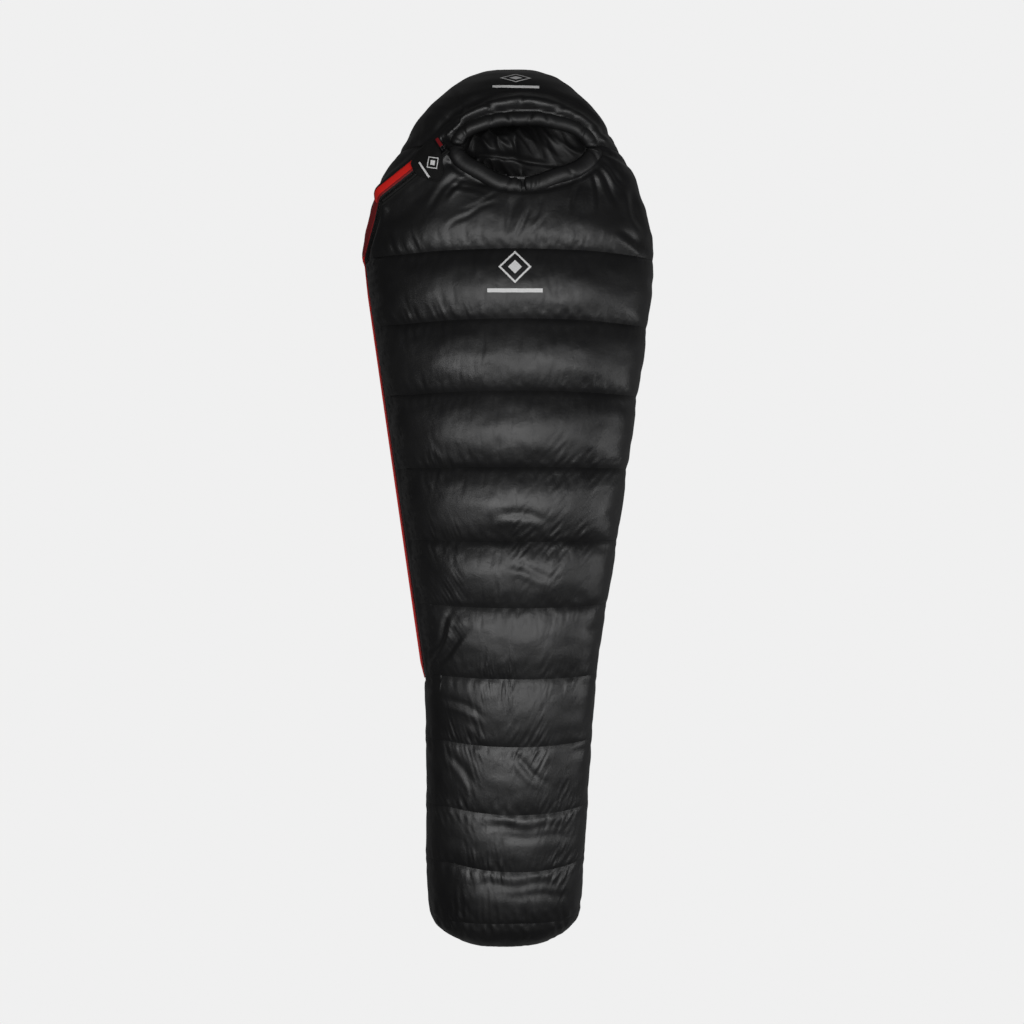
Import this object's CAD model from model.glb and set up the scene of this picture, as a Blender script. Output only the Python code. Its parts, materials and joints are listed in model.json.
import json
import math

import bmesh
import bpy
import numpy as np
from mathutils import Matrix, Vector
from mathutils.bvhtree import BVHTree


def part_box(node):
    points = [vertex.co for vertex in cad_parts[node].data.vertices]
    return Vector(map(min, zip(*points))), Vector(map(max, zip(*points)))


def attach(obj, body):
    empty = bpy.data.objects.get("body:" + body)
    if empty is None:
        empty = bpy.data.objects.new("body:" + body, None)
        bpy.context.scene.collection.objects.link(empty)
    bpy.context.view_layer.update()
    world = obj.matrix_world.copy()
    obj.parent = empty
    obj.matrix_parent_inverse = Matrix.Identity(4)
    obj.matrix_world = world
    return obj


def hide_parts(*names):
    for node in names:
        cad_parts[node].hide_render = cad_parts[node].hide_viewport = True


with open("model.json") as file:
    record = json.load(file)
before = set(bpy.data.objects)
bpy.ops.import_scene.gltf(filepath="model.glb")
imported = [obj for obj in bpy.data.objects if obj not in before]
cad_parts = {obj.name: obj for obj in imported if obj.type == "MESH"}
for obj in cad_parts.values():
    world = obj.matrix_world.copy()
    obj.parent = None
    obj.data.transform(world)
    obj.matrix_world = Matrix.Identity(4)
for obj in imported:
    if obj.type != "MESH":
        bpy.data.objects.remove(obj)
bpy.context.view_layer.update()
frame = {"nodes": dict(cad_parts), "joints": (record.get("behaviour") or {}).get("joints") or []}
NODES = frame["nodes"]
JOINTS = {joint["name"]: joint for joint in frame["joints"]}

# ---- camera and light ----
MIDDLE = Vector((0.010, -0.012, 0.0))
CAMERA_HEIGHT = 3.0
SIDE_HEIGHT = 0.105
VIEW_WIDTH = 2.508        # metres across the picture at the height of the bag's sides
SENSOR_WIDTH = 36.0
WORLD_LIGHT = 0.045
# Area lights: name, place, the point they aim at, size, power.
LIGHTS = [
    ("Softbox", (0.09, -0.165, 3.4), (0.07, -0.165, 0), (0.88, 2.53), 54),
    ("Side", (2.6, -0.5, 1.6), (0.2, -0.5, 0.1), (0.6, 2.0), 18),
]


def make_camera():
    data = bpy.data.cameras.new("Camera")
    data.sensor_width = SENSOR_WIDTH
    data.lens = SENSOR_WIDTH * (CAMERA_HEIGHT - SIDE_HEIGHT) / VIEW_WIDTH
    camera = bpy.data.objects.new("Camera", data)
    camera.location = MIDDLE + Vector((0, 0, CAMERA_HEIGHT))
    bpy.context.collection.objects.link(camera)
    bpy.context.scene.camera = camera


def area_light(name, place, aim, size, power):
    data = bpy.data.lights.new(name, "AREA")
    data.shape = "RECTANGLE"
    data.size, data.size_y = size
    data.energy = power
    lamp = bpy.data.objects.new(name, data)
    lamp.location = place
    lamp.rotation_euler = (Vector(aim) - Vector(place)).to_track_quat("-Z", "Y").to_euler()
    bpy.context.collection.objects.link(lamp)


def make_studio():
    scene = bpy.context.scene
    scene.view_settings.view_transform = "Standard"
    scene.world = bpy.data.worlds.new("Studio")
    scene.world.use_nodes = True
    background = scene.world.node_tree.nodes["Background"]
    background.inputs["Color"].default_value = (1, 1, 1, 1)
    background.inputs["Strength"].default_value = WORLD_LIGHT
    for light in LIGHTS:
        area_light(*light)


make_camera()
make_studio()

# ---- meshes ----


def mesh_object(name, points, faces, smooth=True):
    mesh = bpy.data.meshes.new(name)
    mesh.from_pydata([tuple(map(float, p)) for p in points], [], [tuple(map(int, f)) for f in faces])
    mesh.update()
    mesh.polygons.foreach_set("use_smooth", [smooth] * len(mesh.polygons))
    piece = bpy.data.objects.new(name, mesh)
    bpy.context.collection.objects.link(piece)
    return piece


def grid_faces(rows, columns, closed=True):
    faces = []
    for j in range(rows - 1):
        for i in range(columns if closed else columns - 1):
            k = (i + 1) % columns
            faces.append((j * columns + i, j * columns + k, (j + 1) * columns + k, (j + 1) * columns + i))
    return faces


def grid_object(name, grid, closed=True):
    """A mesh over a grid of points [row, column], closed round its columns or open."""
    grid = np.asarray(grid)
    return mesh_object(name, grid.reshape(-1, 3), grid_faces(*grid.shape[:2], closed))


def read_vertices(mesh, attribute="co"):
    values = np.empty(len(mesh.vertices) * 3)
    mesh.vertices.foreach_get(attribute, values)
    return values.reshape(-1, 3)


def set_vertices(mesh, co):
    mesh.vertices.foreach_set("co", np.asarray(co, float).ravel())
    mesh.update()


def with_modifiers(piece):
    """Bake the piece's modifiers into its mesh."""
    graph = bpy.context.evaluated_depsgraph_get()
    baked = bpy.data.meshes.new_from_object(
        piece.evaluated_get(graph), preserve_all_data_layers=True, depsgraph=graph)
    piece.modifiers.clear()
    piece.data = baked
    return piece


def subdivided(piece, levels=1):
    modifier = piece.modifiers.new("Subdivision", "SUBSURF")
    modifier.levels = modifier.render_levels = levels
    return with_modifiers(piece)


def simulated(piece, pinned, pressure, growth, frames, bending):
    """How far each point moves when the cloth, cut a little large, puffs with its seams pinned."""
    start = read_vertices(piece.data)
    group = piece.vertex_groups.new(name="seams")
    group.add([int(i) for i in np.flatnonzero(pinned)], 1.0, "REPLACE")
    modifier = piece.modifiers.new("Cloth", "CLOTH")
    cloth = modifier.settings
    cloth.quality = 4
    cloth.mass = 0.12
    cloth.tension_stiffness = cloth.compression_stiffness = 12
    cloth.shear_stiffness = 4
    cloth.bending_stiffness = bending
    cloth.air_damping = 2.0
    cloth.vertex_group_mass = "seams"
    cloth.use_pressure = True
    cloth.uniform_pressure_force = pressure
    cloth.shrink_min = -growth
    cloth.effector_weights.gravity = 0
    modifier.point_cache.frame_start = 1
    modifier.point_cache.frame_end = frames
    for step in range(1, frames + 1):
        bpy.context.scene.frame_set(step)
    with_modifiers(piece)
    bpy.context.scene.frame_set(1)
    piece.vertex_groups.clear()
    return read_vertices(piece.data) - start


def blurred(values, along, round_):
    """Moving average of a [row, column] grid that is closed round its columns."""
    total = sum(np.roll(values, k, 1) for k in range(-round_, round_ + 1)) / (2 * round_ + 1)
    padded = np.pad(total, ((along, along), (0, 0)), mode="edge")
    return sum(padded[k:k + len(values)] for k in range(2 * along + 1)) / (2 * along + 1)


def side_share(out):
    """The sides are held taut by the back panel, so they puff less than the top."""
    return 0.3 + 0.7 * smoothstep(np.abs(out[:, 2]), 0.1, 0.7)


def smoothstep(x, low, high):
    t = np.clip((x - low) / (high - low), 0, 1)
    return t * t * (3 - 2 * t)


def between(x, start, full, fade, end):
    """1 from full to fade, and smoothly down to 0 at start and end."""
    return smoothstep(x, start, full) * (1 - smoothstep(x, fade, end))


def bump(x, width):
    return np.exp(-(x / width) ** 2)


def unit(v):
    v = np.asarray(v, float)
    return v / np.linalg.norm(v, axis=-1, keepdims=True)


def lengths(line):
    """Length along a line of points up to each of them."""
    return np.concatenate([[0], np.cumsum(np.linalg.norm(np.diff(line, axis=0), axis=1))])


def points_at(at, steps, line):
    """Points on a line at the lengths in at, where steps are the lengths of its own points."""
    return np.stack([np.interp(at, steps, column) for column in line.T], -1)


def on_circle(angle):
    """Direction in the bag's cross-section."""
    return Vector((math.cos(angle), 0, math.sin(angle)))


def waves(x, y, scale, seed, octaves=3):
    """Smooth repeatable noise from -1 to 1, with bumps about one scale across."""
    rng = np.random.default_rng(seed)
    total, weight = np.zeros_like(x), 0.0
    for octave in range(octaves):
        strength = 0.55 ** octave
        for _ in range(5):
            angle, phase = rng.uniform(0, math.tau, 2)
            step = math.tau / (scale * rng.uniform(0.7, 1.4)) * 1.9 ** octave
            total += strength * np.sin(step * (x * math.cos(angle) + y * math.sin(angle)) + phase)
        weight += strength * 2.2
    return np.clip(total / weight, -1, 1)


def tree_of(pieces):
    points, faces = [], []
    for piece in pieces:
        offset = len(points)
        points += [tuple(p) for p in read_vertices(piece.data)]
        faces += [[offset + i for i in polygon.vertices] for polygon in piece.data.polygons]
    return BVHTree.FromPolygons(points, faces)


# ---- sizes read from the frame ----
CHAMBERS = 11
SEAMS = [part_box(f"front_down_{n:02d}")[1].y for n in range(1, CHAMBERS + 1)]
SEAMS.append(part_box(f"front_down_{CHAMBERS:02d}")[0].y)
NECK_Y, FOOT_SEAM_Y = SEAMS[0], SEAMS[-1]
HEAD_Y, FOOT_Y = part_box("hood_shell")[1].y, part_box("foot_end_shell")[0].y
ROLL_RADIUS = 0.0145
SIDE_Z_AT_ZIP_END = 0.088
SIDE_SLOPE = 0.0123


def roll_ellipse():
    """Middle and half sizes of the line that the face opening's rolls follow."""
    boxes = [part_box(name) for name in ("brow_roll", "chin_roll_left", "chin_roll_right")]
    low = np.min([np.array(b[0]) for b in boxes], axis=0)
    high = np.max([np.array(b[1]) for b in boxes], axis=0)
    return (low + high)[:2] / 2, (high - low)[:2] / 2 - ROLL_RADIUS


FACE, FACE_HALF = roll_ellipse()


def to_seam(y):
    """Distance of each y from the nearest seam."""
    return np.min([np.abs(y - seam) for seam in SEAMS], axis=0)


class Stretch:
    """A straight stretch of zip: s down the zip, v towards the front panel, n outwards."""

    def __init__(self, start, end, outward):
        self.start, self.end = np.asarray(start, float), np.asarray(end, float)
        self.length = float(np.linalg.norm(self.end - self.start))
        self.s = unit(self.end - self.start)
        outward = np.asarray(outward, float)
        self.n = unit(outward - self.s * outward.dot(self.s))
        self.v = np.cross(self.n, self.s)

    def point(self, s, v, n):
        return self.start + self.s * s + self.v * v + self.n * n


PIN_N = 0.0047            # a pull's pin above the coil's middle
UPPER_PIN_S = -0.0045     # the upper pull's pin from its slider's middle
SLIDE_ROOM = 0.012        # a slider stops this far from the shoulder bend
STOP_ROOM = 0.009
TAPE_REACH = 0.08         # the tape's top end, which gives the plane of the upper stretch


def zip_stretches():
    upper_s = unit(JOINTS["upper_slider_slide"]["axis"])
    lower_up = unit(JOINTS["lower_slider_slide"]["axis"])
    upper_pin = np.array(JOINTS["upper_pull_hinge"]["pos_m"], float)
    lower_pin = np.array(JOINTS["lower_pull_hinge"]["pos_m"], float)
    tape = read_vertices(NODES["front_zip_tape"].data)
    near = tape[tape[:, 1] > upper_pin[1] - TAPE_REACH]
    near = near - near.mean(0)
    near = near - np.outer(near @ upper_s, upper_s)
    across = np.linalg.svd(near, full_matrices=False)[2][0]
    normal = np.cross(upper_s, across)
    normal *= math.copysign(1, normal[2])
    top = upper_pin - upper_s * UPPER_PIN_S - normal * PIN_N
    bend = top + upper_s * (JOINTS["upper_slider_slide"]["range_m"][1] + SLIDE_ROOM)
    lower_middle = lower_pin + np.array([PIN_N, 0, 0])
    side = lower_middle + lower_up * (JOINTS["lower_slider_slide"]["range_m"][1] + SLIDE_ROOM)
    end = lower_middle - lower_up * STOP_ROOM
    outward = np.array([-1.0, 0, 0])
    return Stretch(top, bend, normal), Stretch(bend, side, normal + outward), Stretch(side, end, outward)


UPPER, BEND, LOWER = zip_stretches()
PATH_STEP = 0.004
PATH_BEFORE, PATH_AFTER = 0.014, 0.020
CORNER = 0.012


def zip_path():
    """Points down the whole zip with their directions, rounded where two stretches meet."""
    stretches = (UPPER, BEND, LOWER)
    total = sum(stretch.length for stretch in stretches)
    along = np.arange(-PATH_BEFORE, total + PATH_AFTER, PATH_STEP)
    starts = np.cumsum([0] + [stretch.length for stretch in stretches])
    index = np.clip(np.searchsorted(starts, along, side="right") - 1, 0, 2)
    points = np.array([stretches[k].point(a - starts[k], 0, 0) for k, a in zip(index, along)])
    normal = np.array([stretches[k].n for k in index])
    for k in (1, 2):
        share = smoothstep(along, starts[k] - CORNER, starts[k] + CORNER)[:, None]
        near = np.abs(along - starts[k]) < CORNER
        normal[near] = (stretches[k - 1].n * (1 - share) + stretches[k].n * share)[near]
        for _ in range(2):
            points[near] = (0.25 * np.roll(points, 1, 0) + 0.5 * points + 0.25 * np.roll(points, -1, 0))[near]
    s = unit(np.gradient(points, axis=0))
    v = unit(np.cross(normal, s))
    return along, points, s, v, np.cross(s, v), starts


PATH_ALONG, PATH_POINT, PATH_S, PATH_V, PATH_N, PATH_STARTS = zip_path()
ON_SIDE = smoothstep(PATH_ALONG, PATH_STARTS[1] - 0.02, PATH_STARTS[2] + 0.03)
ZIP_REACH = 0.07
FAR = 1.0


def to_zip(co):
    """Nearest path station, v and n of each point, with v = FAR for points far from the zip."""
    station = np.zeros(len(co), int)
    v, n = np.full(len(co), FAR), np.zeros(len(co))
    near = np.flatnonzero((co[:, 0] < -0.08) & (co[:, 1] > LOWER.end[1] - 0.03) & (co[:, 2] > 0.03))
    for part in np.array_split(near, max(1, len(near) // 4000)):
        gap = co[part, None, :] - PATH_POINT[None, :, :]
        nearest = np.argmin((gap ** 2).sum(2), axis=1)
        away = gap[np.arange(len(part)), nearest]
        close = (away ** 2).sum(1) < ZIP_REACH ** 2
        station[part] = nearest
        v[part] = np.where(close, (away * PATH_V[nearest]).sum(1), FAR)
        n[part] = (away * PATH_N[nearest]).sum(1)
    ends = (station <= 1) | (station >= len(PATH_ALONG) - 2)
    v[ends & (np.abs(v) < 0.03)] = FAR
    return station, v, n


# ---- the bag's surface ----
RAYS = 480
TOP_COLUMNS = 168
UNDER_COLUMNS = 96
COLUMNS = TOP_COLUMNS + UNDER_COLUMNS
ROW_STEP = 0.0105
FOOT_ROWS, HOOD_ROWS = 12, 28
END_ROOM = 0.004
EDGE_ROOM = 0.0015        # rows keep this far off the hairline gaps between panels
OUTSIDE = 0.7             # from here a ray looks for the bag's outside
END_MIDDLE = 0.078        # height of the hood's middle at the head end
RELAXATIONS = 400


def middle_level(y):
    """A height inside the bag at y: the side line's, and the end caps' own middles."""
    level = SIDE_Z_AT_ZIP_END + (y - LOWER.end[1]) * SIDE_SLOPE
    return level + (END_MIDDLE - level) * float(smoothstep(np.array(y), 1.0, HEAD_Y))


def filled(radius):
    """Fill the places where a ray found an opening, by smooth relaxation."""
    missing = np.isnan(radius)
    index = np.arange(radius.shape[1])
    for row in radius:
        known = ~np.isnan(row)
        row[:] = np.interp(index, index[known], row[known], period=radius.shape[1])
    for _ in range(RELAXATIONS):
        around = (np.roll(radius, 1, 1) + np.roll(radius, -1, 1)) / 2
        along = radius.copy()
        along[1:-1] = (radius[:-2] + radius[2:]) / 2
        radius[missing] = (0.35 * around + 0.65 * along)[missing]
    return radius


def surface_radii(names, ys, outer):
    """Distance of a layer from the bag's middle line, by angle, in the plane of each y."""
    tree = tree_of([NODES[name] for name in names])
    radius = np.full((len(ys), RAYS), np.nan)
    for j, y in enumerate(ys):
        middle = Vector((MIDDLE.x, y, middle_level(y)))
        for i in range(RAYS):
            way = on_circle(i * math.tau / RAYS)
            start, look = (middle + way * OUTSIDE, -way) if outer else (middle, way)
            hit = tree.ray_cast(start, look)[0]
            if hit is not None and (hit - middle).dot(way) > 0.012:
                radius[j, i] = (hit - middle).length
    return filled(radius)


def resampled(ring):
    """Even points round a section: over the top from left to right, then back underneath."""
    left = RAYS // 2
    top = ring[np.arange(left, -1, -1)]
    under = ring[np.arange(0, -left - 1, -1)]
    points = []
    for line, count in ((top, TOP_COLUMNS), (under, UNDER_COLUMNS)):
        steps = lengths(line)
        points.append(points_at(np.linspace(0, steps[-1], count + 1)[:-1], steps, line))
    return np.concatenate(points)


def row_ys():
    """Rows exactly on each seam, even between seams, and closer towards both round ends."""
    rows = []
    for high, low in zip(SEAMS, SEAMS[1:]):
        count = round((high - low) / ROW_STEP)
        rows += [high + (low - high) * k / count for k in range(count)]
    rows.append(FOOT_SEAM_Y)
    for start, end, count in (
        (FOOT_SEAM_Y, FOOT_Y + END_ROOM, FOOT_ROWS), (NECK_Y, HEAD_Y - END_ROOM, HOOD_ROWS)
    ):
        rows += [start + (end - start) * math.sin(k / count * math.pi / 2) for k in range(1, count + 1)]
    return np.array(sorted(rows))


ROWS = row_ys()


def layer_grid(names, ys, outer):
    """Grid of points [row, column] on a layer of the bag, closed round each section."""
    sample = ys.copy()
    for seam in (NECK_Y, FOOT_SEAM_Y):
        sample[np.abs(ys - seam) < 0.002] = seam - math.copysign(EDGE_ROOM, seam)
    radius = surface_radii(names, sample, outer)
    for _ in range(2):
        radius = 0.5 * radius + 0.25 * (np.roll(radius, 1, 1) + np.roll(radius, -1, 1))
    angles = np.arange(RAYS) * math.tau / RAYS
    grid = []
    for j, y in enumerate(ys):
        x = MIDDLE.x + radius[j] * np.cos(angles)
        z = np.maximum(middle_level(sample[j]) + radius[j] * np.sin(angles), 0.0)
        even = resampled(np.stack([x, z], 1))
        grid.append(np.stack([even[:, 0], np.full(len(even), y), even[:, 1]], 1))
    return np.array(grid)


CAP_SHARES = (0.8, 0.55, 0.3, 0.1, 0.012)
CAP_BULGE = 0.002


def with_caps(grid):
    """Add rings that close both ends of the grid in a shallow dome."""
    rings = list(grid)
    for end, sign in ((0, -1), (-1, 1)):
        edge = grid[end]
        middle = edge.mean(0)
        added = []
        for share in CAP_SHARES:
            ring = middle + (edge - middle) * share
            ring[:, 1] = edge[:, 1] + sign * CAP_BULGE * (1 - share ** 2)
            added.append(ring)
        rings = rings + added if sign > 0 else added[::-1] + rings
    return np.array(rings)


PINNED_ENDS = len(CAP_SHARES) + 2
OUTER_NODES = [
    "front_shell", "left_shoulder_shell", "back_shell", "hood_shell", "foot_end_shell", "underside_panel",
]
REGIONS = ("front", "back", "hood", "foot", "left_shoulder")
FRONT, BACK, HOOD, FOOT, LEFT_SHOULDER = range(len(REGIONS))


def face_distance(co):
    """How far each point is from the rolls' line in plan: below 0 inside the opening."""
    away = (co[:, :2] - FACE) / FACE_HALF
    size = np.hypot(away[:, 0], away[:, 1])
    scale = np.hypot(*(away / np.maximum(size, 1e-6)[:, None] * FACE_HALF).T)
    return (size - 1) * scale


def is_top(co):
    return co[:, 2] > 0.13


PUFF_HEIGHT = 0.011       # how far the middle of an upper chamber stands above the CAD shell
PUFF_LESS = 0.0085        # how much less at the foot
SEAM_SLACK = 0.0060       # how far the seams ride up towards the foot, where the quilt is slacker
WRINKLE_SHARE = 0.4
WRINKLE_CAP = 0.004
ZIP_CLEAR = 0.016         # the cloth is held this near to the zip
ON_FLOOR = 0.006


def chamber_shares(puff, ys):
    """The simulated puff as a share of its usual peak in each chamber."""
    edges = [HEAD_Y + 1] + SEAMS + [FOOT_Y - 1]
    share = np.zeros_like(puff)
    for high, low in zip(edges, edges[1:]):
        rows = (ys <= high) & (ys >= low)
        peak = np.percentile(puff[rows][:, TOP_COLUMNS // 5:4 * TOP_COLUMNS // 5], 92)
        share[rows] = np.clip(puff[rows] / max(peak, 1e-4), -0.3, 1.25)
    return share


def build_outer():
    grid = with_caps(layer_grid(OUTER_NODES, ROWS, outer=True))
    rows = len(grid)
    co = grid.reshape(-1, 3)
    piece = grid_object("outer", grid)
    row_y = np.repeat(grid[:, 0, 1], COLUMNS)
    row = np.repeat(np.arange(rows), COLUMNS)
    near_seam = to_seam(row_y)
    by_zip = np.abs(to_zip(co)[1]) < ZIP_CLEAR
    pinned = (near_seam < 0.002) | by_zip | (co[:, 2] < ON_FLOOR)
    pinned |= (row < PINNED_ENDS) | (row >= rows - PINNED_ENDS)
    pinned |= is_top(co) & (face_distance(co) < 0.012)
    out = read_vertices(piece.data, "normal")
    shift = simulated(piece, pinned, pressure=4, growth=0.022, frames=24, bending=0.6)
    move = (shift * out).sum(1).reshape(rows, COLUMNS)
    puff = blurred(move, 1, 8)
    wrinkles = np.clip(move - puff, -WRINKLE_CAP, WRINKLE_CAP).ravel() * WRINKLE_SHARE
    puff = chamber_shares(puff, grid[:, 0, 1]).ravel()
    low_down = 1 - smoothstep(row_y, -0.75, 0.15)
    crown = smoothstep(row_y, 0.90, 1.02)
    lift = puff * (PUFF_HEIGHT - PUFF_LESS * low_down) * side_share(out) * (1 - crown) + wrinkles
    lift += SEAM_SLACK * low_down * np.exp(-near_seam / 0.024) * ~by_zip * (co[:, 2] > ON_FLOOR)
    set_vertices(piece.data, co + out * lift[:, None])
    on_top = np.arange(len(piece.data.polygons)) % COLUMNS < TOP_COLUMNS
    face_y = np.repeat((grid[:-1, 0, 1] + grid[1:, 0, 1]) / 2, COLUMNS)
    regions = np.where(on_top, FRONT, BACK)
    regions[face_y > NECK_Y] = HOOD
    regions[face_y < FOOT_SEAM_Y] = FOOT
    layer = piece.data.attributes.new("region", "INT", "FACE")
    layer.data.foreach_set("value", regions)
    return subdivided(piece)


# Rows of puckers beside a seam: seam, slant, and in millimetres x from, x to, spacing, reach, depth.
PUCKERS = [
    (1, 0.5, -290, -200, 13, 30, 1.8), (2, 0.3, -270, -80, 14, 26, 1.8), (4, 0.4, -200, -120, 12, 30, 2.2),
    (4, -0.9, 70, 270, 13, 40, 2), (5, 0.4, -190, -120, 12, 26, 2.2), (5, -0.9, 0, 200, 14, 45, 2),
    (6, 0.6, -200, -100, 16, 60, 2), (7, 0.1, -60, 20, 10, 35, 2.2), (7, -0.4, 80, 170, 14, 30, 1.6),
    (8, 0.4, -150, -50, 13, 40, 2.2), (8, -0.5, 10, 100, 14, 45, 2.2), (9, -0.5, 80, 180, 12, 40, 2.4),
    (9, 0.4, -180, -80, 14, 30, 1.8), (10, -0.5, 80, 180, 12, 40, 2.4), (10, 0.2, -100, 20, 14, 30, 1.6),
    (11, 0.1, -200, 200, 16, 40, 2.6), (0, 0.7, -140, 20, 15, 30, 2), (3, 0.2, -200, -20, 16, 22, 1.2),
    (3, -0.2, 100, 280, 16, 22, 1.2), (2, -0.3, 100, 300, 16, 22, 1.4), (1, -0.3, 50, 300, 17, 22, 1.2),
    (6, -0.4, 20, 180, 14, 28, 1.4),
]
# Single folds, in millimetres: from x, y to x, y, half width, depth.
FOLDS = [
    (-193, -382, -135, -250, 7, 4), (-175, -380, -100, -300, 8, 3), (-125, 768, -40, 762, 6, 3),
    (-135, 752, -60, 748, 6, 3), (-145, 738, -105, 765, 6, 3), (-20, 735, -110, 695, 5, 1.4),
    (-30, 712, -120, 675, 5, 1.8), (-100, 680, -140, 655, 6, 1.2), (55, 695, 15, 635, 6, 1.6),
    (85, 680, 55, 640, 5, 1.2), (30, 735, -5, 640, 12, 2.2), (75, 728, 65, 675, 6, 1.2),
    (175, 770, 150, 700, 6, 2.2), (205, 785, 215, 710, 6, 2.6), (215, 800, 265, 725, 8, 3.5),
    (220, 820, 285, 770, 8, 4), (225, 845, 300, 835, 8, 4.5), (215, 880, 275, 925, 9, 4),
    (-120, 785, -190, 700, 8, 2.5), (-120, 905, -190, 945, 8, 3), (-108, 920, -128, 985, 7, 3),
    (160, -771, -80, -765, 10, 2.8), (160, -792, -40, -785, 11, 2.4), (150, -905, -100, -900, 10, 2.8),
    (150, -930, -40, -922, 11, 2.4), (-20, -10, 100, -30, 10, 2.2), (0, -135, 120, -170, 10, 2.2),
    (-150, -460, -50, -500, 9, 2), (20, -600, 90, -660, 9, 2.6), (-140, -600, -80, -660, 9, 2.4),
    (300, 760, 330, 660, 12, 6), (270, 660, 330, 610, 10, 3),
]
CHIN_SINK = 0.007         # the top chamber falls away towards the chin
PUCKER_EDGE = 0.02
PUCKER_SEED = 50
# How far each seam bows towards the head in its middle, from the neck seam to the foot seam.
SEAM_BOWS = [0, 0.009, 0.009, 0.007, 0.002, -0.002, -0.007, -0.007, -0.013, -0.016, -0.017, 0]
BOW_MIDDLE = 0.030


def seam_bow(co):
    """How far the quilting lines bow along the bag, over the top only."""
    x, y, z = co.T
    half = np.interp(y, [FOOT_SEAM_Y, NECK_Y], [0.147, 0.310])
    across = np.clip(1 - ((x - BOW_MIDDLE) / half) ** 2, 0, 1)
    over = smoothstep(z - np.array([middle_level(place) for place in y]), 0.0, 0.03)
    return np.interp(y, SEAMS[::-1], SEAM_BOWS[::-1]) * across * over


def wrinkle(co, out, bow):
    """Heights of the puckers, folds, seam grooves, hood ridges and gathers, along the surface's normal."""
    x, y, z = co.T
    top = smoothstep(out[:, 2], -0.3, 0.1)
    lift = np.zeros(len(co))
    for seam, slant, *sizes in PUCKERS:
        x_from, x_to, spacing, reach, depth = np.array(sizes) / 1000
        away = y - SEAMS[seam]
        edge = PUCKER_EDGE
        window = between(x, x_from - edge, x_from + edge, x_to - edge, x_to + edge)
        fade = np.exp(-np.abs(away) / (reach * (0.8 + 0.4 * np.sin(x * 83 + seam))))
        fade *= smoothstep(np.abs(away), 0, 0.014)
        ripple = waves(x + slant * away, away * 0.3, spacing * 1.5, PUCKER_SEED + seam, 2)
        lift += depth * ripple * window * fade * top
    bowed = y + bow
    for fold in FOLDS:
        x0, y0, x1, y1, half, depth = np.array(fold) / 1000
        dx, dy = x1 - x0, y1 - y0
        length = math.hypot(dx, dy)
        along = ((x - x0) * dx + (bowed - y0) * dy) / length
        across = ((x - x0) * dy - (bowed - y0) * dx) / length + 0.004 * np.sin(along * 50 + x0 * 90)
        ends = between(along, -0.015, 0.25 * length, 0.6 * length, length + 0.02)
        lift -= depth * ends * top * (bump(across, half) - 0.5 * bump(across - 1.9 * half, half))
    near_seam = to_seam(y)
    beside_seam = np.exp(-near_seam / 0.02) * smoothstep(near_seam, 0, 0.012)
    lift += 0.0009 * beside_seam * waves(x, y * 0.25 + z, 0.022, 11, 2)
    lift += 0.0010 * waves(x, y, 0.14, 5)
    groove = (0.0012 + 0.0020 * smoothstep(y, -0.5, 0.2)) * (0.25 + 0.75 * smoothstep(out[:, 2], 0.2, 0.75))
    lift -= groove * bump(near_seam, 0.0042) * (y > FOOT_SEAM_Y - 0.01) * (y < NECK_Y + 0.01)
    station, across, _ = to_zip(co)
    lift -= CHIN_SINK * between(y, 0.62, 0.71, 0.75, 0.81) * smoothstep(np.abs(across), 0.015, 0.068) * top
    along = PATH_ALONG[station]
    gathers = np.sin(along * math.tau / 0.021 + 2.5 * np.sin(along * 9))
    lift += 0.0016 * gathers * between(across, 0.012, 0.03, 0.045, 0.085) * (y < LOWER.start[1]) * (x < 0)
    return lift + hood_relief(co) * top


# Creases across the brow's ridge: angle round the opening, depth, slant.
RIDGE_CREASES = [
    (0.55, 0.004, 0.5), (0.95, 0.003, -0.4), (1.18, 0.004, 0.7),
    (1.62, 0.003, 0.5), (1.95, 0.004, -0.6), (2.45, 0.004, -0.5),
]


def hood_relief(co):
    """The puffed ridge round the brow, the channel seam inside it, and the hood's panel seams."""
    distance = face_distance(co)
    turn = np.arctan2((co[:, 1] - FACE[1]) / FACE_HALF[1], (co[:, 0] - FACE[0]) / FACE_HALF[0])
    angle = np.degrees(turn)
    brow = between(angle, 2, 30, 150, 178)
    chin = between(-angle, 10, 40, 150, 175)
    ripple = 1 + 0.22 * np.sin(turn * 6 + 1.3) * np.sin(turn * 3.1)
    relief = brow * ripple * 0.013 * bump(distance - 0.031, 0.016)
    for side, depth, middle, width in ((brow, 0.007, 0.009, 0.006), (brow, 0.004, 0.060, 0.012),
                                       (chin, 0.004, 0.036, 0.005)):
        relief -= side * depth * bump(distance - middle, width)
    for place, depth, slant in RIDGE_CREASES:
        across = (turn - place) * 0.13 + slant * (distance - 0.027)
        relief -= depth * bump(across, 0.005) * bump(distance - 0.027, 0.016)
    return relief * (distance > -0.03) * (np.abs(distance) < 0.2)


EDGE_HALF_V = 0.009       # the shell ends this far from the zip's middle, under the hem


def seat_zip(co):
    """Bring the shell down to the zip's hems, and press it flat under the red facing."""
    station, v, n = to_zip(co)
    side = ON_SIDE[station]
    front_level = -0.0005 + 0.0030 * side
    back_level = -0.0026 + 0.0085 * side
    back_reach = 0.034 - 0.016 * side
    level = np.where(v > 0, front_level, back_level)
    start = np.where(v > 0, 0.012, back_reach)
    blend = 1 - smoothstep(np.abs(v), start, start + 0.022)
    shift = np.where(np.abs(v) < 0.2, (level - n) * blend, 0)
    return co + PATH_N[station] * shift[:, None], v


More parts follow.
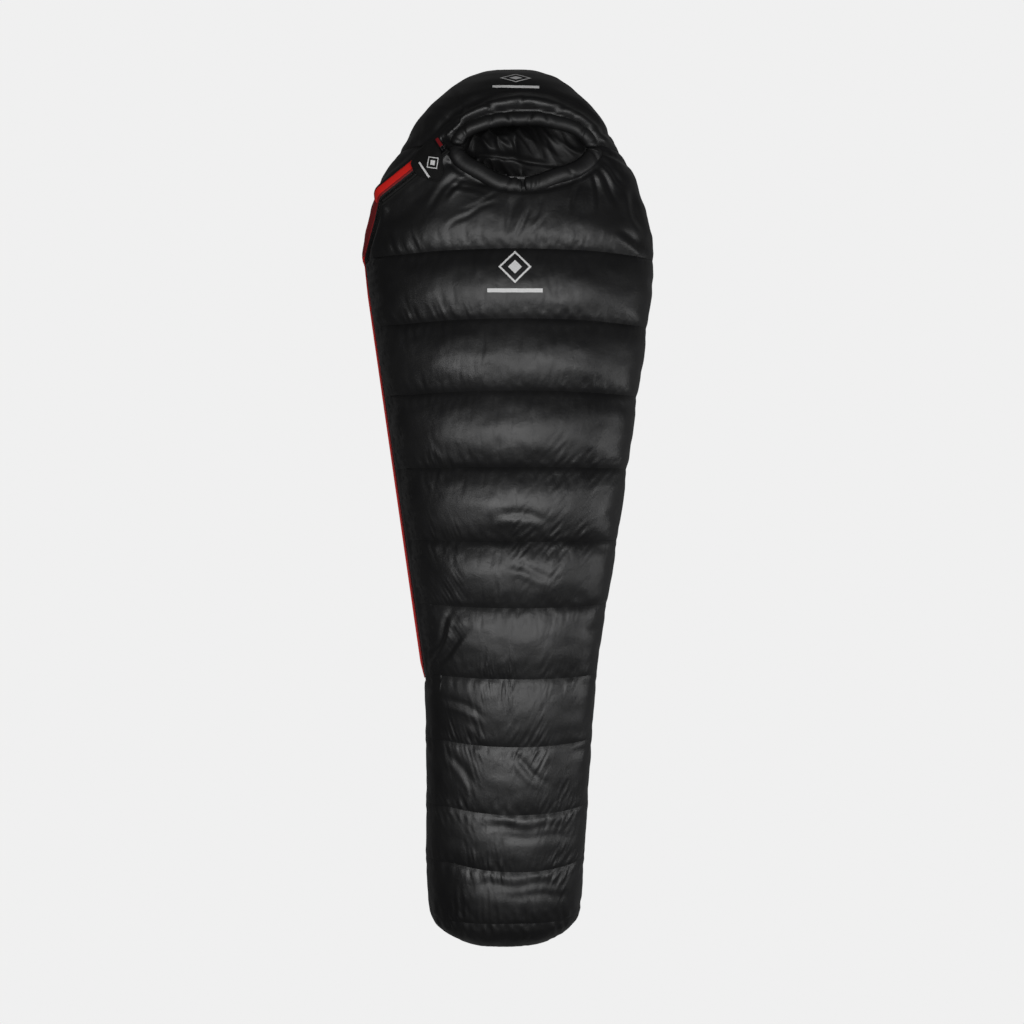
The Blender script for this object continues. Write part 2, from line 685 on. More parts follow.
def finished_outer(piece):
    co = read_vertices(piece.data)
    out = read_vertices(piece.data, "normal")
    bow = seam_bow(co)
    on_seam = to_seam(co[:, 1]) < 0.001
    co = co + out * wrinkle(co, out, bow)[:, None]
    co[:, 1] += bow
    co, v = seat_zip(co)
    distance = np.where(is_top(co), face_distance(co), 1.0)
    rim = (distance < 0) & (distance > -0.012)
    outward = unit((co[:, :2] - FACE) / FACE_HALF ** 2)
    co[rim, :2] -= outward[rim] * distance[rim, None]
    co[:, 2] = np.maximum(co[:, 2], 0.0)
    set_vertices(piece.data, co)
    return v, distance, on_seam


def quad_corners(mesh):
    """Vertex numbers at the four corners of each face."""
    corners = np.empty(len(mesh.loops), int)
    mesh.loops.foreach_get("vertex_index", corners)
    return corners.reshape(-1, 4)


def corner_values(mesh, values):
    """Mean of a per-vertex value over each face's corners."""
    return values[quad_corners(mesh)].mean(1)


def part_of(piece, name, keep, creased=None):
    """A new piece from the faces marked in keep. Its shading breaks at the vertices marked in creased."""
    mesh = piece.data
    quads = quad_corners(mesh)[keep]
    used, faces = np.unique(quads, return_inverse=True)
    made = mesh_object(name, read_vertices(mesh)[used], faces.reshape(-1, 4))
    out = read_vertices(mesh, "normal")[quads]
    if creased is not None:
        flat = np.empty(len(mesh.polygons) * 3)
        mesh.polygons.foreach_get("normal", flat)
        out = np.where(creased[quads][:, :, None], flat.reshape(-1, 1, 3)[keep], out)
    made.data.normals_split_custom_set([tuple(p) for p in out.reshape(-1, 3)])
    return made


def build_shells():
    outer = build_outer()
    v, distance, on_seam = finished_outer(outer)
    mesh = outer.data
    region = np.empty(len(mesh.polygons), int)
    mesh.attributes["region"].data.foreach_get("value", region)
    face_x, face_y, _ = (corner_values(mesh, values) for values in read_vertices(mesh).T)
    face_v = corner_values(mesh, v)
    zip_x = np.interp(face_y, PATH_POINT[::-1, 1], PATH_POINT[::-1, 0])
    beside = face_y < LOWER.start[1]
    on_front, on_back = region == FRONT, region == BACK
    region[on_front & ~beside & (face_x < zip_x)] = LEFT_SHOULDER
    region[on_front & beside & (face_v < 0)] = BACK
    region[on_back & beside & (face_v > 0) & (face_v < 0.05)] = FRONT
    clear = (np.abs(face_v) > EDGE_HALF_V) & (corner_values(mesh, distance) > -0.002)
    pieces = {}
    for index, name in enumerate(REGIONS):
        pieces[name] = part_of(outer, f"{name}_panel", (region == index) & clear, on_seam)
    tree = tree_of([outer])
    bpy.data.objects.remove(outer)
    return pieces, tree


shells, OUTER_TREE = build_shells()

# ---- shader helpers ----


def node(tree, kind, inputs=None, **settings):
    made = tree.nodes.new("ShaderNode" + kind)
    for key, value in settings.items():
        setattr(made, key, value)
    for socket, value in (inputs or {}).items():
        if isinstance(value, bpy.types.NodeSocket):
            tree.links.new(value, made.inputs[socket])
        else:
            made.inputs[socket].default_value = value
    return made


def new_material(name, **values):
    material = bpy.data.materials.new(name)
    material.use_nodes = True
    tree = material.node_tree
    shader = tree.nodes["Principled BSDF"]
    for socket, value in values.items():
        shader.inputs[socket.replace("_", " ")].default_value = value
    return material, tree, shader


def ramp(tree, factor, low, high, start=0.35, end=0.65):
    made = node(tree, "ValToRGB", {"Fac": factor})
    made.color_ramp.elements[0].position, made.color_ramp.elements[0].color = start, (*low, 1)
    made.color_ramp.elements[1].position, made.color_ramp.elements[1].color = end, (*high, 1)
    return made.outputs["Color"]


def bumped(tree, shader, height, distance, strength=1.0, base=None):
    inputs = {"Height": height, "Distance": distance, "Strength": strength}
    if base is not None:
        inputs["Normal"] = base
    made = node(tree, "Bump", inputs)
    tree.links.new(made.outputs["Normal"], shader.inputs["Normal"])
    return made.outputs["Normal"]


def varied(name, scale, detail, low, high, ends=(0.35, 0.65), **values):
    """A material whose colour drifts from low to high with fine noise. Returns its parts and the noise."""
    material, tree, shader = new_material(name, **values)
    place = node(tree, "TexCoord").outputs["Object"]
    noise = node(tree, "TexNoise", {"Vector": place, "Scale": scale, "Detail": detail}).outputs["Fac"]
    tree.links.new(ramp(tree, noise, low, high, *ends), shader.inputs["Base Color"])
    return material, tree, shader, place, noise


def vary_roughness(tree, shader, noise, low, high, start=0.0, end=1.0):
    limits = {"Value": noise, "From Min": start, "From Max": end, "To Min": low, "To Max": high}
    tree.links.new(node(tree, "MapRange", limits).outputs["Result"], shader.inputs["Roughness"])


def fabric(name, low, high, roughness, weave, crinkle, **values):
    """Woven cloth: colour variation, a fine two-way weave, and soft crinkles that break up the sheen."""
    material, tree, shader, place, cloud = varied(name, 7.0, 3.0, low, high, **values)
    vary_roughness(tree, shader, cloud, roughness - 0.05, roughness + 0.05, 0.3, 0.7)
    threads = {"Vector": place, "Scale": weave}
    warp, weft = (node(tree, "TexWave", threads, bands_direction=axis).outputs["Fac"] for axis in "XY")
    cloth = node(tree, "Math", {0: warp, 1: weft}, operation="MULTIPLY").outputs["Value"]
    crease = {"Vector": place, "Scale": 55.0, "Detail": 4.0, "Distortion": 0.8}
    soft = bumped(tree, shader, node(tree, "TexNoise", crease).outputs["Fac"], crinkle)
    bumped(tree, shader, cloth, 0.00004, 0.6, soft)
    return material


NYLON = fabric("black_nylon", (0.008, 0.008, 0.0085), (0.012, 0.012, 0.0125), 0.42, 400, 0.0005)
LINING = fabric("black_lining", (0.008, 0.008, 0.0085), (0.014, 0.014, 0.0145), 0.52, 400, 0.0005)
RIM = fabric("rim_nylon", (0.008, 0.008, 0.0085), (0.012, 0.012, 0.0125), 0.50, 400, 0.0004)
FLAP = fabric("flap_cloth", (0.006,) * 3, (0.010,) * 3, 0.75, 260, 0.0004, Specular_IOR_Level=0.25)
RED = fabric("red_grosgrain", (0.88, 0.014, 0.009), (0.97, 0.020, 0.013), 0.55, 150, 0.0003)
RED_EDGE = fabric("red_grosgrain_edge", (0.22, 0.004, 0.006), (0.30, 0.006, 0.008), 0.60, 150, 0.0003)
TAPE = fabric("zip_tape", (0.010,) * 3, (0.018,) * 3, 0.70, 220, 0.0002)
FUZZ = fabric("hook_and_loop", (0.012,) * 3, (0.030,) * 3, 0.90, 120, 0.0008)
THREAD = fabric("thread", (0.006,) * 3, (0.010,) * 3, 0.85, 500, 0.0002, Specular_IOR_Level=0.1)


def metal():
    """Black lacquered metal, worn a little brighter in patches."""
    material, tree, shader, _, wear = varied(
        "lacquered_metal", 300.0, 4.0, (0.03, 0.03, 0.032), (0.10, 0.10, 0.11), (0.45, 0.75), Metallic=1.0)
    vary_roughness(tree, shader, wear, 0.28, 0.5)
    bumped(tree, shader, wear, 0.0001, 0.5)
    return material


def pull_finish():
    """Dark metal at the pin and a moulded dark-red grip, told apart by the distance from either pin."""
    material, tree, shader, place, grain = varied(
        "red_pull", 500.0, 2.0, (0.20, 0.006, 0.010), (0.27, 0.010, 0.014), Roughness=0.42)
    red = shader.inputs["Base Color"].links[0].from_socket
    pins = [tuple(JOINTS[joint]["pos_m"]) for joint in ("upper_pull_hinge", "lower_pull_hinge")]
    upper, lower = (
        node(tree, "VectorMath", {0: place, 1: pin}, operation="DISTANCE").outputs["Value"] for pin in pins)
    far = node(tree, "Math", {0: upper, 1: lower}, operation="MINIMUM").outputs["Value"]
    share = node(tree, "MapRange", {"Value": far, "From Min": 0.0088, "From Max": 0.0092}).outputs["Result"]
    mix = node(tree, "Mix", {"Factor": share, "A": (0.05, 0.05, 0.055, 1), "B": red}, data_type="RGBA")
    tree.links.new(mix.outputs["Result"], shader.inputs["Base Color"])
    bumped(tree, shader, grain, 0.0001, 0.4)
    return material


def ink():
    """White screen print, slightly uneven, as it lies on woven nylon."""
    material, tree, shader, _, cloud = varied(
        "white_print", 400.0, 3.0, (0.86,) * 3, (0.96,) * 3, Roughness=0.6)
    bumped(tree, shader, cloud, 0.0001, 0.4)
    return material


METAL = metal()
PULL = pull_finish()
COIL = varied("coil_nylon", 40.0, 2.0, (0.010,) * 3, (0.022,) * 3, Roughness=0.34)[0]
INK = ink()


def settle(piece, body, material=None, replaced=()):
    """The common last steps of a piece: material, slot, body, the nodes it stands for."""
    if material is not None:
        piece.data.materials.append(material)
    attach(piece, body)
    if replaced:
        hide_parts(*replaced)
    return piece


def downs(side):
    return [f"{side}_down_{n:02d}" for n in range(1, CHAMBERS + 1)]


SHELL_NODES = {
    "front": ["front_shell", "front_baffle_walls", *downs("front")],
    "back": ["back_shell", "back_baffle_walls", "underside_panel", *downs("back")],
    "hood": ["hood_shell", "hood_down_left", "hood_down_centre", "hood_down_right"],
    "foot": ["foot_end_shell", "foot_end_down"],
    "left_shoulder": ["left_shoulder_shell", "left_shoulder_down"],
}
for name, piece in shells.items():
    settle(piece, "quilt", NYLON, SHELL_NODES[name])

# ---- face rim ----
RIM_SEGMENTS = 30
ROLL_SUNK = 0.005
ROLL_FLATNESS = 0.94
ROLL_CLOSING = 0.012      # a tube closes over this length at each end
CREASE_WIDTH = 0.0045


def top_point(x, y):
    """Point on the shell straight below (x, y), with the surface's normal."""
    place, out, _, _ = OUTER_TREE.ray_cast(Vector((x, y, 1.0)), Vector((0, 0, -1)))
    if place is None:
        return np.array([x, y, 0.1]), np.array([0, 0, 1.0])
    return np.array(place), np.array(out)


def around_face(angle):
    """Point in plan on the ellipse that the rolls follow."""
    return FACE + FACE_HALF * np.array([math.cos(angle), math.sin(angle)])


def rim_line(degrees):
    """Middle line of the rolls. The chin's tubes run straighter than an ellipse, and dip where they meet."""
    x, y = around_face(math.radians(degrees))
    dip = 0.009 * math.exp(-((degrees - 262) / 24) ** 2) + 0.006 * math.exp(-((degrees - 90) / 55) ** 2)
    return top_point(x, y - dip)[0] - np.array([0, dip * 0.8, ROLL_SUNK])


def rim_roll(name, start, end, creases, seed, girth):
    """A puffed tube along the rim with stitched ends, girth times as wide as the CAD's roll.

    creases are (share along, depth, slant).
    """
    count = max(24, int((end - start) * 1.1))
    line = np.array([rim_line(start + (end - start) * k / count) for k in range(count + 1)])
    line[:, 2] = np.convolve(np.pad(line[:, 2], 4, mode="edge"), np.ones(9) / 9, mode="valid")
    along = unit(np.gradient(line, axis=0))
    steps = lengths(line)
    outward = line - np.append(FACE, 0)
    outward[:, 2] = 0
    line += unit(outward) * (girth - 1) * ROLL_RADIUS
    across = unit(np.cross(np.array([0, 0, 1.0]), along))
    up = unit(np.cross(along, across))
    theta = np.arange(RIM_SEGMENTS) * math.tau / RIM_SEGMENTS
    radius = np.full((count + 1, RIM_SEGMENTS), ROLL_RADIUS)
    wobble = np.random.default_rng(seed).uniform(0, math.tau, 3)
    for place, depth, slant in creases:
        away = (steps / steps[-1] - place)[:, None] * steps[-1] - slant * np.sin(theta + wobble[0])[None, :]
        radius -= depth * bump(away, CREASE_WIDTH) * (0.6 + 0.4 * np.sin(theta * 2 + wobble[1]))[None, :]
        radius += 0.15 * depth * bump(np.abs(away) - 0.012, 0.008)
    radius += 0.0007 * np.sin(steps[:, None] * 70 + np.cos(theta)[None, :] * 1.6 + wobble[2])
    closing = np.clip(np.minimum(steps, steps[-1] - steps)[:, None] / ROLL_CLOSING, 0, 1)
    radius *= 0.25 + 0.75 * np.sqrt(closing * (2 - closing))
    points = (
        line[:, None, :]
        + across[:, None, :] * (girth * radius * np.cos(theta))[:, :, None]
        + up[:, None, :] * (radius * np.sin(theta) * ROLL_FLATNESS)[:, :, None]
    )
    co = np.concatenate([points.reshape(-1, 3), line[:1], line[-1:]])
    faces = grid_faces(len(points), RIM_SEGMENTS)
    last = len(points) * RIM_SEGMENTS
    for i in range(RIM_SEGMENTS):
        k = (i + 1) % RIM_SEGMENTS
        faces.append((last, k, i))
        faces.append((last + 1, last - RIM_SEGMENTS + i, last - RIM_SEGMENTS + k))
    return subdivided(outward_faces(mesh_object(name, co, faces)))


def outward_faces(piece):
    """Turn the faces of a closed piece outwards."""
    mesh = piece.data
    working = bmesh.new()
    working.from_mesh(mesh)
    bmesh.ops.recalc_face_normals(working, faces=working.faces)
    working.to_mesh(mesh)
    working.free()
    return piece


BROW_CREASES = [
    (0.12, 0.0030, 0.006), (0.36, 0.0026, 0.008), (0.47, 0.0030, -0.006),
    (0.60, 0.0034, 0.007), (0.72, 0.0022, -0.005), (0.90, 0.0026, -0.006),
]
LEFT_CREASES = [(0.08, 0.0020, 0.005), (0.84, 0.0026, 0.007), (0.94, 0.0030, 0.006)]
RIGHT_CREASES = [
    (0.06, 0.0030, -0.005), (0.15, 0.0026, -0.006), (0.55, 0.0012, 0.006), (0.90, 0.0024, -0.006),
]
for name, start, end, creases, seed, girth, node_name in (
    ("brow_rim", 2, 178, BROW_CREASES, 21, 1.1, "brow_roll"),
    ("chin_rim_left", 179, 268.5, LEFT_CREASES, 22, 1.35, "chin_roll_left"),
    ("chin_rim_right", 269, 361, RIGHT_CREASES, 23, 1.35, "chin_roll_right"),
):
    roll = rim_roll(name, start, end, creases, seed, girth)
    settle(roll, "quilt", RIM, [node_name])

# ---- lining ----
LINING_NODES = ["front_lining", "back_lining", "hood_lining", "foot_end_lining"]
LINING_ENDS = (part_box("foot_end_lining")[0].y + 0.005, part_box("hood_lining")[1].y - 0.005)
COLLAR_Y, COLLAR_HALF, COLLAR_DEPTH = 0.719, 0.030, 0.024
TUBE_DEPTH, TUBE_HALF = 0.016, 0.014
MOUND_HEIGHT = 0.060
HEAD_FROM_Y = 0.60
BODY_STEP, HEAD_STEP = 0.05, 0.008


def build_lining():
    """The inside of the bag: plain down the body, crumpled under the head, with the draft collar and tube."""
    ys = np.concatenate([
        np.arange(LINING_ENDS[0], HEAD_FROM_Y, BODY_STEP), np.arange(HEAD_FROM_Y, LINING_ENDS[1], HEAD_STEP)])
    piece = subdivided(grid_object("lining", with_caps(layer_grid(LINING_NODES, ys, outer=False))))
    co = read_vertices(piece.data)
    out = read_vertices(piece.data, "normal")
    x, y, z = co.T
    low = 1 - smoothstep(z, 0.09, 0.15)
    head = smoothstep(y, 0.68, 0.78)
    ridges = 1 - np.abs(waves(x * 0.8 + 0.3 * y, y, 0.10, 31, 2)) * 1.9
    fine = 1 - np.abs(waves(x * 0.8, y + 0.3 * x, 0.048, 32, 1)) * 1.7
    crumpled = 1 - 0.75 * smoothstep(x, 0.0, 0.07)
    inward = head * low * crumpled * (0.009 * ridges + 0.005 * fine)
    inward += head * (1 - low) * 0.003 * ridges
    mound = bump(x + 0.005, 0.085) * bump(y - 0.905, 0.050)
    mound -= 0.30 * bump(y - 0.868 + 0.1 * x, 0.006) * bump(x + 0.01, 0.09)
    inward += MOUND_HEIGHT * mound * low
    inward += COLLAR_DEPTH * np.sqrt(np.clip(1 - ((y - COLLAR_Y) / COLLAR_HALF) ** 2, 0, 1)) * (1 - low)
    beside = (x < 0) & (y < LOWER.start[1]) & (y > LOWER.end[1])
    above_zip = z - np.interp(y, [LOWER.end[1], LOWER.start[1]], [LOWER.end[2], LOWER.start[2]])
    inward += TUBE_DEPTH * bump(above_zip, TUBE_HALF) * beside
    co = co - out * inward[:, None]
    distance = np.where(out[:, 2] > 0.3, face_distance(co), 1.0)
    co[:, 2] += 0.015 * np.exp(-np.clip(distance, 0, None) / 0.022) * (distance < 0.2)
    co[:, 2] = np.maximum(co[:, 2], 0.004)
    set_vertices(piece.data, co)
    piece.data.flip_normals()
    made = part_of(piece, "inner_lining", corner_values(piece.data, distance) > -0.004)
    bpy.data.objects.remove(piece)
    return made


settle(build_lining(), "quilt", LINING, LINING_NODES + ["draft_collar", "zip_draft_tube"])

# ---- zip ----


def swept(name, first, last, profile, closed=False):
    """Sweep a profile down the zip. profile(station) gives (v, n) points in metres."""
    rings = []
    for station in range(first, last):
        at = np.array(profile(station))
        rings.append(PATH_POINT[station] + PATH_V[station] * at[:, :1] + PATH_N[station] * at[:, 1:])
    return grid_object(name, rings, closed)


STATIONS = len(PATH_ALONG)
COIL_V = 0.0021            # from the zip's middle to the middle of one side's coil


def placket_profile(station):
    """The hems beside the tapes and the gutter below the coil."""
    side = ON_SIDE[station]
    front, back = 0.0024 + 0.0017 * side, -0.0016 + 0.0082 * side
    closing = max(0.0, 1 - min(station, STATIONS - 1 - station) / 2)
    points = []
    for sign, hem in ((-1, back), (1, front)):
        half = [
            (0.0148, hem - 0.0030), (0.0130, hem - 0.0008), (0.0113, hem), (0.0097, hem - 0.0003),
            (0.0086, hem - 0.0013), (0.00815, min(hem - 0.002, 0.0009)), (0.00805, -0.0012),
            (0.0060, -0.0042), (0.0020, -0.0055),
        ]
        half = [(sign * v, n + closing * (hem - 0.001 - n)) for v, n in half]
        points += half if sign < 0 else half[::-1]
    return points


settle(swept("zip_placket", 0, STATIONS, placket_profile), "quilt", FLAP)

# The red facing's inner and outer edges across the zip, and its thickness, at places down the zip.
LIP_ALONG = [
    0.004, PATH_STARTS[1] - 0.02, PATH_STARTS[1] + 0.02, PATH_STARTS[2] - 0.06,
    PATH_STARTS[2], PATH_STARTS[2] + 0.08, PATH_ALONG[-1] - 0.05, PATH_ALONG[-1],
]
LIP_INNER = [-0.0090, -0.0090, -0.0088, -0.0086, -0.0080, -0.0074, -0.0074, -0.0074]
LIP_OUTER = [-0.0330, -0.0330, -0.0350, -0.0350, -0.0240, -0.0150, -0.0140, -0.0100]
LIP_THICKNESS = [0.0016, 0.0016, 0.0016, 0.0018, 0.0030, 0.0058, 0.0068, 0.0010]
LIP_COLUMNS = 9


def lip_profile(station):
    """The facing's closed section, laid on the shell: wide on the shoulder, a raised fold down the side."""
    at = PATH_ALONG[station]
    rows = (LIP_INNER, LIP_OUTER, LIP_THICKNESS)
    inner, outer, thick = (float(np.interp(at, LIP_ALONG, row)) for row in rows)
    upper, lower = [], []
    for share in np.linspace(0, 1, LIP_COLUMNS):
        v = inner + (outer - inner) * share
        start = PATH_POINT[station] + PATH_V[station] * v + PATH_N[station] * 0.05
        place = OUTER_TREE.ray_cast(Vector(start), Vector(-PATH_N[station]), 0.09)[0]
        base = -0.0015 if place is None else float((np.array(place) - PATH_POINT[station]) @ PATH_N[station])
        crown = math.sin(math.pi * share) ** 0.35
        upper.append((v, base + 0.0004 + thick * (0.45 + 0.55 * crown)))
        lower.append((v, base - 0.0006))
    return upper + lower[::-1]


def build_lip():
    first = int(np.searchsorted(PATH_ALONG, LIP_ALONG[0]))
    piece = swept("red_facing", first, STATIONS - 3, lip_profile, closed=True)
    piece.data.materials.append(RED)
    piece.data.materials.append(RED_EDGE)
    edge = np.zeros(len(piece.data.polygons), int)
    column = np.arange(len(edge)) % (2 * LIP_COLUMNS)
    along = PATH_ALONG[first + np.arange(len(edge)) // (2 * LIP_COLUMNS)]
    before_side = along < PATH_STARTS[2] - 0.01
    on_bend = before_side & (along > PATH_STARTS[1] + 0.012)
    edge[(before_side & (column <= 1)) | (column >= LIP_COLUMNS) | (on_bend & (column < LIP_COLUMNS - 2))] = 1
    piece.data.polygons.foreach_set("material_index", edge)
    outward_faces(piece)
    return settle(piece, "quilt", None, ["zip_lip"])


def build_coil(name, side):
    """One side's teeth: a coil of round wire down the zip."""
    pitch, radius, wire, steps, around = 0.0015, 0.00092, 0.00027, 9, 5
    first, last = PATH_ALONG[1] + 0.002, PATH_ALONG[-1] - 0.016
    count = int((last - first) / pitch * steps)
    at = first + np.arange(count + 1) * pitch / steps
    turn = np.arange(count + 1) * math.tau / steps
    centre, across, out, down = (
        points_at(at, PATH_ALONG, values) for values in (PATH_POINT, PATH_V, PATH_N, PATH_S))
    middle = centre + across * side * COIL_V
    spoke = across * np.cos(turn)[:, None] + out * np.sin(turn)[:, None]
    points = []
    for k in range(around):
        angle = k * math.tau / around
        points.append(middle + spoke * (radius + wire * math.cos(angle)) + down * wire * math.sin(angle))
    return grid_object(name, np.stack(points, 1))


build_lip()
for name, side, cad_name in (("front_teeth", 1, "front_zip_coil"), ("back_teeth", -1, "back_zip_coil")):
    settle(build_coil(name, side), "quilt", COIL, [cad_name])

# ---- zip flap ----
FLAP_N = 0.0086
FLAP_BEND_V = 0.004
FLAP_DROP = 0.2
FLAP_CORNERS = [
    (0.004, -0.037), (0.046, -0.037), (0.080, -0.022), (0.082, 0.008),
    (0.058, 0.048), (0.044, 0.058), (0.022, 0.044), (0.002, 0.004),
]
FLAP_ROUNDING = 0.008
# The flap's rings, from the middle of its underside round the edge: share of the outline, height.
FLAP_RINGS = [
    (0.03, 0.0), (0.5, 0.0), (0.95, 0.0), (0.992, 0.0002), (1.0, 0.0008), (0.992, 0.0017),
    (0.975, 0.0020), (0.955, 0.0017), (0.93, 0.0015), (0.85, 0.0018), (0.7, 0.0021), (0.45, 0.0023),
    (0.2, 0.0023), (0.03, 0.0023),
]


def rounded_outline(corners, radius, step=0.0025):
    """A closed polyline with its corners rounded, at even steps."""
    points = []
    corners = np.array(corners)
    for before, corner, after in zip(np.roll(corners, 1, 0), corners, np.roll(corners, -1, 0)):
        start, end = (
            corner + unit(other - corner) * min(radius, 0.45 * np.linalg.norm(other - corner))
            for other in (before, after))
        for share in np.linspace(0, 1, 9):
            points.append((1 - share) ** 2 * start + 2 * share * (1 - share) * corner + share ** 2 * end)
    points = np.array(points + points[:1])
    steps = lengths(points)
    return points_at(np.arange(0, steps[-1] - step / 2, step), steps, points)


STITCH_PITCH, STITCH_LENGTH, THREAD_HALF = 0.0042, 0.0030, 0.00028


def flap_level(v):
    return FLAP_N - np.maximum(0.0, v - FLAP_BEND_V) * FLAP_DROP


def flap_point(plan, height):
    """Point on the flap from (s, v) and a height above its underside."""
    plan = np.atleast_2d(plan)
    n = flap_level(plan[:, 1]) + height
    return UPPER.start + UPPER.s * plan[:, :1] + UPPER.v * plan[:, 1:2] + UPPER.n * n[:, None]


def build_flap():
    outline = rounded_outline(FLAP_CORNERS, FLAP_ROUNDING)
    middle = outline.mean(0)
    rings = []
    for share, height in FLAP_RINGS:
        plan = middle + (outline - middle) * share
        crumple = 0.0005 * waves(plan[:, 0], plan[:, 1], 0.03, 41, 2) * (share < 0.94) * (height > 0)
        rings.append(flap_point(plan, height + crumple))
    piece = subdivided(outward_faces(grid_object("garage_flap", rings)))
    flap = settle(piece, "zip_flap", FLAP, ["zip_flap"])
    inset = middle + (outline - middle) * 0.90
    out = np.tile(UPPER.n, (len(inset), 1))
    stitches("flap_stitches", flap_point(inset, 0.00185), out, "zip_flap", closed=True)


def stitches(name, line, out, body, closed=False):
    """A row of thread dashes along a line of points."""
    if closed:
        line, out = np.concatenate([line, line[:1]]), np.concatenate([out, out[:1]])
    steps = lengths(line)
    points, faces = [], []
    for start in np.arange(0, steps[-1] - STITCH_LENGTH, STITCH_PITCH):
        head, tail = (points_at(at, steps, line) for at in (start, start + STITCH_LENGTH))
        along = unit(tail - head)
        across = unit(np.cross(along, points_at(start, steps, out))) * THREAD_HALF
        up = unit(np.cross(across, along)) * THREAD_HALF
        base = len(points)
        for share, width, lift in ((0, 0.5, -1.0), (0.25, 1, 0.8), (0.75, 1, 0.8), (1, 0.5, -1.0)):
            middle = head + (tail - head) * share
            points += [middle + up * lift + across * width, middle + up * (lift + width)]
            points.append(middle + up * lift - across * width)
        for ring in range(3):
            for k in range(3):
                a, b = base + ring * 3 + k, base + ring * 3 + (k + 1) % 3
                faces.append((a, b, b + 3, a + 3))
    piece = outward_faces(mesh_object(name, points, faces))
    return settle(piece, body, THREAD)


def build_welt():
    """The folded strip that the flap is sewn to."""
    rows = []
    for s in np.arange(0.005, 0.0455, 0.002):
        wave = 0.0003 * math.sin(s * 200)
        rows.append([UPPER.point(s, v, n) for v, n in (
            (-0.0392, -0.0016), (-0.0390 + wave, 0.0040), (-0.0384, 0.0072), (-0.0372, 0.0080),
            (-0.0360, 0.0070), (-0.0356 + wave, 0.0030), (-0.0352, -0.0016))])
    piece = outward_faces(subdivided(grid_object("flap_fold", rows)))
    settle(piece, "quilt", FLAP, ["flap_welt"])


build_flap()
build_welt()

# ---- seam stitching ----
STITCH_SUNK = 0.0001
# Stitched channels round the face opening: distance outside the rolls' line, from and to in degrees.
CHANNELS = {
    "brow_channel": (0.0135, 6, 174), "hood_channel": (0.060, 10, 165), "chin_channel": (0.042, 195, 345),
}


def seam_line(y):
    """Points and normals along a bowed seam, over the top from side to side."""
    points, outs = [], []
    for degrees in np.arange(-8, 188.1, 0.75):
        way = on_circle(math.radians(degrees))
        start = Vector((MIDDLE.x, y, middle_level(y))) + way * OUTSIDE
        place, out, _, _ = OUTER_TREE.ray_cast(start, -way)
        if place is not None:
            start.y = y + float(seam_bow(np.array([place]))[0])
            place, out, _, _ = OUTER_TREE.ray_cast(start, -way)
            points.append(np.array(place) - np.array(out) * STITCH_SUNK)
            outs.append(np.array(out))
    return np.array(points), np.array(outs)


def sewn_seams():
    for number, y in enumerate(SEAMS, start=1):
        line, out = seam_line(y)
        _, v, _ = to_zip(line)
        clear = (np.abs(v) > 0.036) & ((line[:, 2] < 0.13) | (face_distance(line) > 0.02))
        runs = np.split(np.arange(len(line)), np.flatnonzero(np.diff(clear.astype(int)) != 0) + 1)
        kept = [run for run in runs if clear[run[0]] and len(run) > 4]
        for part, run in enumerate(kept, start=1):
            stitches(f"seam_{number:02d}_{part}", line[run], out[run], "quilt")


def rim_stitches():
    for name, (offset, start, end) in CHANNELS.items():
        line, out = [], []
        for angle in np.radians(np.arange(start, end, 0.8)):
            away = unit(np.array([math.cos(angle), math.sin(angle)]) / FACE_HALF)
            place, normal = top_point(*(around_face(angle) + away * offset))
            line.append(place + normal * 0.0002)
            out.append(normal)
        stitches(name, np.array(line), np.array(out), "quilt")


sewn_seams()
rim_stitches()

# ---- printed marks ----
PRINT_LIFT = 0.0006
FLAP_PRINT_HEIGHT = 0.0029


def mark_strips(width, height, bar_width, bar_height, gap):
    """A plain rhombus in a rhombus outline above a bar, as strips of point pairs in the plane."""
    rhombus = np.array([(0, height / 2), (width / 2, 0), (0, -height / 2), (-width / 2, 0)])
    strips = []
    for a, b in zip(rhombus, np.roll(rhombus, -1, 0)):
        for outer, inner, count in ((1, 0.84, 13), (0.42, 0, 7)):
            edge = [a + (b - a) * t for t in np.linspace(0, 1, count)]
            strips.append([(point * outer, point * inner) for point in edge])
    top = -height / 2 - gap
    across = np.linspace(-bar_width / 2, bar_width / 2, 31)
    strips.append([(np.array([x, top]), np.array([x, top - bar_height])) for x in across])
    return strips


def printed_mark(name, strips, place, body):
    points, faces = [], []
    for strip in strips:
        for k, (a, b) in enumerate(strip):
            points += [place(a + (b - a) * t) for t in (0, 0.5, 1)]
            if k:
                new, old = len(points) - 3, len(points) - 6
                faces += [(old, old + 1, new + 1, new), (old + 1, old + 2, new + 2, new + 1)]
    return settle(mesh_object(name, points, faces), body, INK)


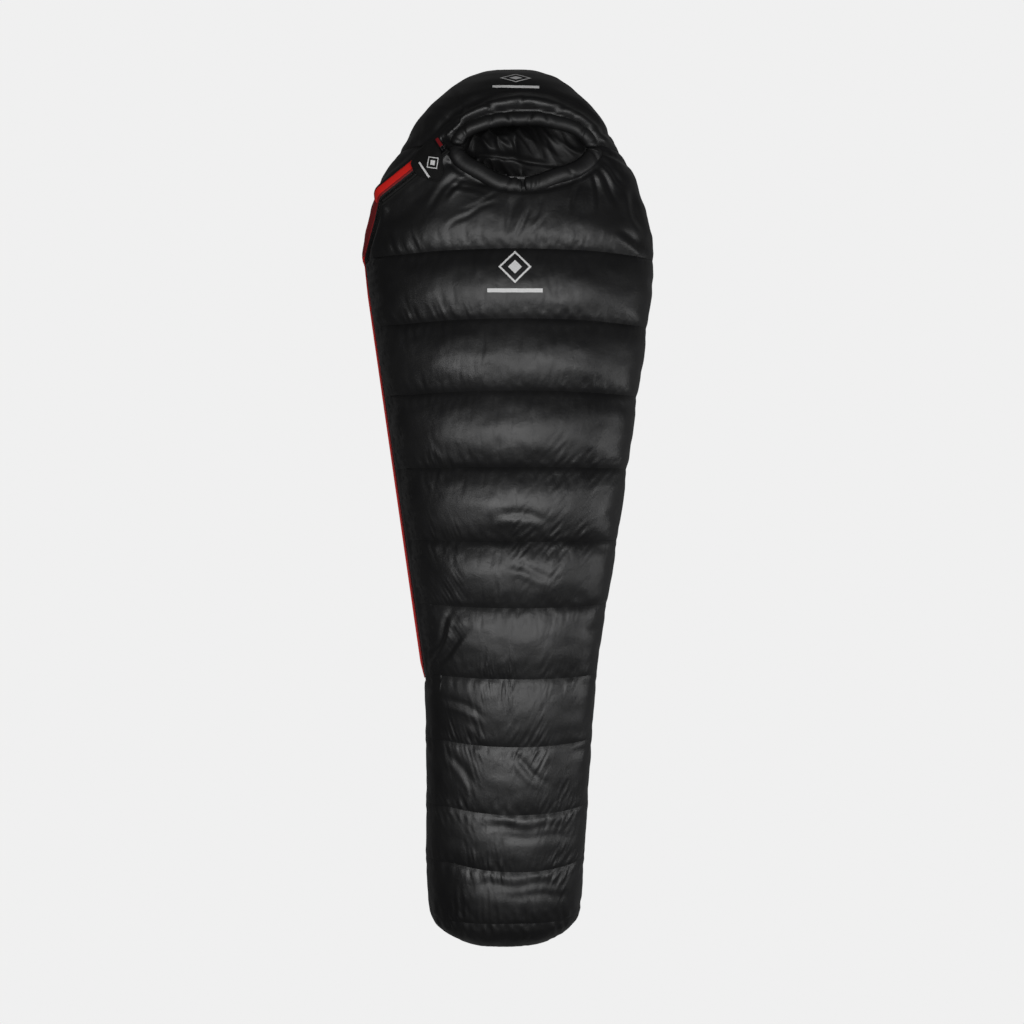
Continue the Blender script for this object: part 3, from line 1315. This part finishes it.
def on_shell(x, y):
    def place(at):
        point, out = top_point(x + at[0], y + at[1])
        return point + out * PRINT_LIFT
    return place


def on_flap(s, v, turn):
    c, sine = math.cos(turn), math.sin(turn)

    def place(at):
        plan = (s + c * at[0] - sine * at[1], v + sine * at[0] + c * at[1])
        return flap_point(plan, FLAP_PRINT_HEIGHT)[0]
    return place


printed_mark("chest_mark", mark_strips(0.078, 0.078, 0.130, 0.009, 0.012), on_shell(0.017, 0.563), "quilt")
printed_mark("hood_mark", mark_strips(0.076, 0.030, 0.110, 0.007, 0.010), on_shell(0.019, 1.022), "quilt")
flap_strips = mark_strips(0.036, 0.036, 0.044, 0.0045, 0.006)
printed_mark("flap_mark", flap_strips, on_flap(0.033, 0.014, math.pi / 2), "zip_flap")

# ---- materials of the CAD nodes that stay ----
KEPT = {
    "front_zip_tape": TAPE, "back_zip_tape": TAPE, "zip_top_stop": METAL, "zip_bottom_stop": METAL,
    "upper_slider": METAL, "lower_slider": METAL, "upper_pull": PULL, "lower_pull": PULL,
    "flap_hook_pad": FUZZ, "flap_loop_pad": FUZZ,
}
for name, material in KEPT.items():
    NODES[name].data.materials.clear()
    NODES[name].data.materials.append(material)

# ---- floor ----
FLOOR_HALF, FLOOR_Z, FLOOR_TONE = 6.0, -0.001, 0.871


def make_floor():
    """A pale floor that the camera sees in one even tone."""
    corners = [(x * FLOOR_HALF, y * FLOOR_HALF, FLOOR_Z) for x, y in ((-1, -1), (1, -1), (1, 1), (-1, 1))]
    floor = mesh_object("floor", corners, [(0, 1, 2, 3)])
    material, tree, shader = new_material("floor", Roughness=0.9)
    shader.inputs["Base Color"].default_value = (0.3, 0.3, 0.3, 1)
    glow = node(tree, "Emission", {"Color": (FLOOR_TONE, FLOOR_TONE, FLOOR_TONE, 1), "Strength": 1.0})
    seen = node(tree, "LightPath").outputs["Is Camera Ray"]
    mix = node(tree, "MixShader", {0: seen, 1: shader.outputs["BSDF"], 2: glow.outputs["Emission"]})
    tree.links.new(mix.outputs["Shader"], tree.nodes["Material Output"].inputs["Surface"])
    floor.data.materials.append(material)


make_floor()
